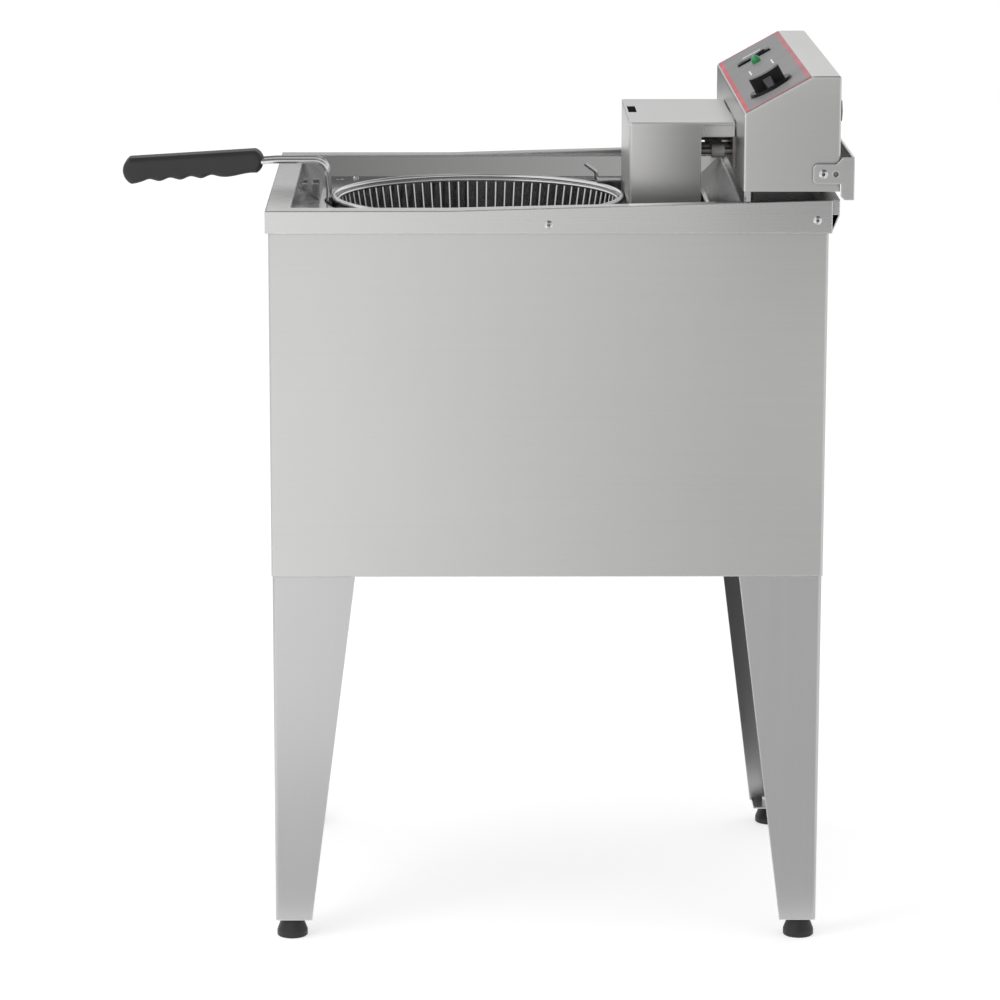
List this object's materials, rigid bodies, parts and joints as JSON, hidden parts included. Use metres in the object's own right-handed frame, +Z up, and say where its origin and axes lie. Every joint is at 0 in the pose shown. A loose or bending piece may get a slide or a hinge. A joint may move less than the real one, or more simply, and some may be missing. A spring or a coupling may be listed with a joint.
{
  "type": "deep fryer",
  "caption": "Floor-standing electric deep fryer: sheet-steel cabinet on tapered legs, round wire basket in an oil tank, lift-off control head with element, dial and rocker switch.",
  "frame": {"origin": "on the floor, under the middle of the overall length, which is the basket's axis, halfway across the width", "axes": "+Z up; +X to the rear, where the control head stands; +Y to the left of a user at the handle"},
  "size_m": [0.8496, 0.5114, 1.0258],
  "materials": {
    "cabinet_steel": "fine horizontal brush grain",
    "rim_steel": "satin",
    "leg_steel": "fine brush grain",
    "head_steel": "fine brush grain",
    "bright_steel": "bright zinc",
    "basket_wire": "bright drawn wire",
    "element_steel": "heat-darkened",
    "black_plastic": "fine matt grain",
    "knob_black": "satin",
    "overlay_grey": "satin film with a thin red border",
    "green_lens": "clear moulded",
    "grey_plastic": "moulded",
    "white_plastic": "moulded",
    "red_plastic": "moulded",
    "white_ceramic": "unglazed"
  },
  "bodies": {
    "frame": {"cabinet_floor": "cabinet_steel", "foot_nuts": "bright_steel", "front_panel": "cabinet_steel", "handle_guides": "rim_steel", "ledge_screws": "bright_steel", "leg_bolts": "bright_steel", "leg_front_left": "leg_steel", "leg_front_right": "leg_steel", "leg_rear_left": "leg_steel", "leg_rear_right": "leg_steel", "oil_tank": "rim_steel", "rear_lip": "rim_steel", "rear_panel": "cabinet_steel", "side_panel_left": "cabinet_steel", "side_panel_right": "cabinet_steel", "skirt_screws": "bright_steel", "top_frame": "rim_steel", "well_liner": "rim_steel"},
    "head": {"head_shell": "head_steel", "head_cover": "head_steel", "panel_overlay": "overlay_grey", "control_thermostat": "grey_plastic", "switch_housing": "knob_black", "contactor": "grey_plastic", "terminal_block": "white_plastic", "cable_gland": "black_plastic", "limit_thermostat": "grey_plastic", "element_guard": "head_steel", "heating_element": "element_steel", "element_flange": "element_steel", "element_terminals": "white_ceramic", "element_clamps": "element_steel", "control_sensor": "element_steel", "limit_sensor": "element_steel", "rear_yoke": "head_steel", "yoke_spacers": "bright_steel", "yoke_screws": "bright_steel", "head_stands": "bright_steel", "pilot_lamp": "green_lens"},
    "basket": {"basket_floor": "basket_wire", "basket_floor_ring": "basket_wire", "basket_hook": "basket_wire", "basket_hoop": "basket_wire", "basket_ring": "basket_wire", "basket_wall": "basket_wire", "handle_rods": "basket_wire", "handle_grip": "black_plastic"},
    "knob": {"knob_shaft": "bright_steel", "thermostat_knob": "knob_black"},
    "rocker": {"switch_rocker": "knob_black"},
    "reset": {"reset_button": "red_plastic"},
    "foot_front_right": {"foot_pad_front_right": "black_plastic", "foot_stud_front_right": "bright_steel"},
    "foot_front_left": {"foot_pad_front_left": "black_plastic", "foot_stud_front_left": "bright_steel"},
    "foot_rear_right": {"foot_pad_rear_right": "black_plastic", "foot_stud_rear_right": "bright_steel"},
    "foot_rear_left": {"foot_pad_rear_left": "black_plastic", "foot_stud_rear_left": "bright_steel"}
  },
  "joints": [
    {"name": "head_lift", "type": "slide", "parent": "frame", "child": "head", "axis": [0, 0, 1], "range_m": [0, 0.3]},
    {"name": "basket_lift", "type": "slide", "parent": "head", "child": "basket", "axis": [0, 0, 1], "range_m": [0, 0.24]},
    {"name": "thermostat_turn", "type": "hinge", "parent": "head", "child": "knob", "pos_m": [0.33705, -0.167, 0.99828], "axis": [-0.4852, 0, 0.8744], "range_deg": [0, 270]},
    {"name": "switch_rock", "type": "hinge", "parent": "head", "child": "rocker", "pos_m": [0.33793, 0.1298, 0.99979], "axis": [0, 1, 0], "range_deg": [0, 10]},
    {"name": "reset_press", "type": "slide", "parent": "head", "child": "reset", "axis": [-1, 0, 0], "range_m": [0, 0.003], "stiffness_N_per_m": 400},
    {"name": "foot_front_right_screw", "type": "slide", "parent": "frame", "child": "foot_front_right", "axis": [0, 0, 1], "range_m": [-0.02, 0]},
    {"name": "foot_front_left_screw", "type": "slide", "parent": "frame", "child": "foot_front_left", "axis": [0, 0, 1], "range_m": [-0.02, 0]},
    {"name": "foot_rear_right_screw", "type": "slide", "parent": "frame", "child": "foot_rear_right", "axis": [0, 0, 1], "range_m": [-0.02, 0]},
    {"name": "foot_rear_left_screw", "type": "slide", "parent": "frame", "child": "foot_rear_left", "axis": [0, 0, 1], "range_m": [-0.02, 0]}
  ]
}
